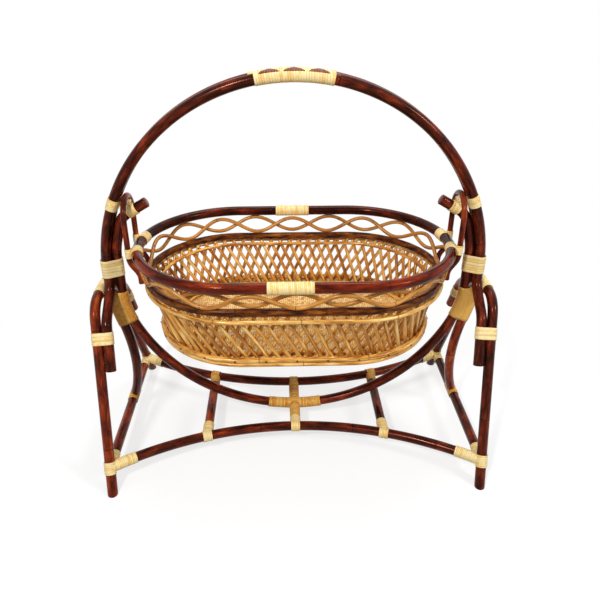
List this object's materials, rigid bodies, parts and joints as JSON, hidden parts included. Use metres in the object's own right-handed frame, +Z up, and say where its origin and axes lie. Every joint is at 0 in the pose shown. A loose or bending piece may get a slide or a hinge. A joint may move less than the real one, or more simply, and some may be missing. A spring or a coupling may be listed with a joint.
{
  "type": "rattan cradle",
  "caption": "Lashed rattan cradle: an oblong lattice-walled basket with a scalloped rim hangs by looped canes from hooks inside a tall hoop on a splayed four-footed cane stand.",
  "frame": {"origin": "on the floor midway between the four feet", "axes": "+X to the right along the basket, +Y away from the viewer across the basket, +Z up"},
  "size_m": [1.0986, 0.6246, 1.0449],
  "materials": {
    "dark_cane": "glossy dark varnish over scorched rattan",
    "natural_cane": "clear varnish over natural rattan",
    "amber_cane": "clear varnish over natural rattan",
    "cane_peel": "satin cane peel windings",
    "beige_peel": "matt cane peel windings",
    "woven_mat": "plaited split cane",
    "iron_nail": "dark iron"
  },
  "bodies": {
    "stand": {"centre_lashing": "cane_peel", "front_centre_lashing": "cane_peel", "front_centre_rung": "dark_cane", "front_hoop": "dark_cane", "front_left_corner_lashing": "cane_peel", "front_left_leg_lashing": "cane_peel", "front_left_rung_lashing": "cane_peel", "front_right_corner_lashing": "cane_peel", "front_right_leg_lashing": "cane_peel", "front_right_rung_lashing": "cane_peel", "front_stretcher": "dark_cane", "grip_wrap": "cane_peel", "left_arch_lashing": "cane_peel", "left_brace": "dark_cane", "left_brace_foot_wrap": "cane_peel", "left_brace_lashing": "beige_peel", "left_end_arch": "dark_cane", "left_hook_lashing": "cane_peel", "left_mid_lashing": "cane_peel", "left_rung": "dark_cane", "left_side_stretcher": "dark_cane", "lower_bow": "dark_cane", "rear_centre_lashing": "cane_peel", "rear_centre_rung": "dark_cane", "rear_hoop": "dark_cane", "rear_left_corner_lashing": "cane_peel", "rear_left_leg_lashing": "cane_peel", "rear_left_rung_lashing": "cane_peel", "rear_right_corner_lashing": "cane_peel", "rear_right_leg_lashing": "cane_peel", "rear_right_rung_lashing": "cane_peel", "rear_stretcher": "dark_cane", "right_arch_lashing": "cane_peel", "right_brace": "dark_cane", "right_brace_foot_wrap": "cane_peel", "right_brace_lashing": "beige_peel", "right_end_arch": "dark_cane", "right_hook_lashing": "cane_peel", "right_mid_lashing": "cane_peel", "right_rung": "dark_cane", "right_side_stretcher": "dark_cane"},
    "basket": {"base_ring": "natural_cane", "inner_bottom_ring": "natural_cane", "inner_scallop": "amber_cane", "inner_spokes": "natural_cane", "inner_upper_ring": "natural_cane", "left_hanger": "dark_cane", "left_hanger_lashings": "cane_peel", "outer_bottom_ring": "natural_cane", "outer_scallop": "amber_cane", "outer_spokes": "natural_cane", "outer_upper_ring": "natural_cane", "right_hanger": "dark_cane", "right_hanger_lashings": "cane_peel", "rim_back_wrap": "cane_peel", "rim_front_wrap": "cane_peel", "ring_nails": "iron_nail", "second_ring": "dark_cane", "top_rim": "dark_cane", "woven_floor": "woven_mat"}
  },
  "joints": [
    {"name": "basket_swing", "type": "hinge", "parent": "stand", "child": "basket", "pos_m": [0, 0, 0.7185], "axis": [1, 0, 0], "range_deg": [-25, 25]}
  ]
}
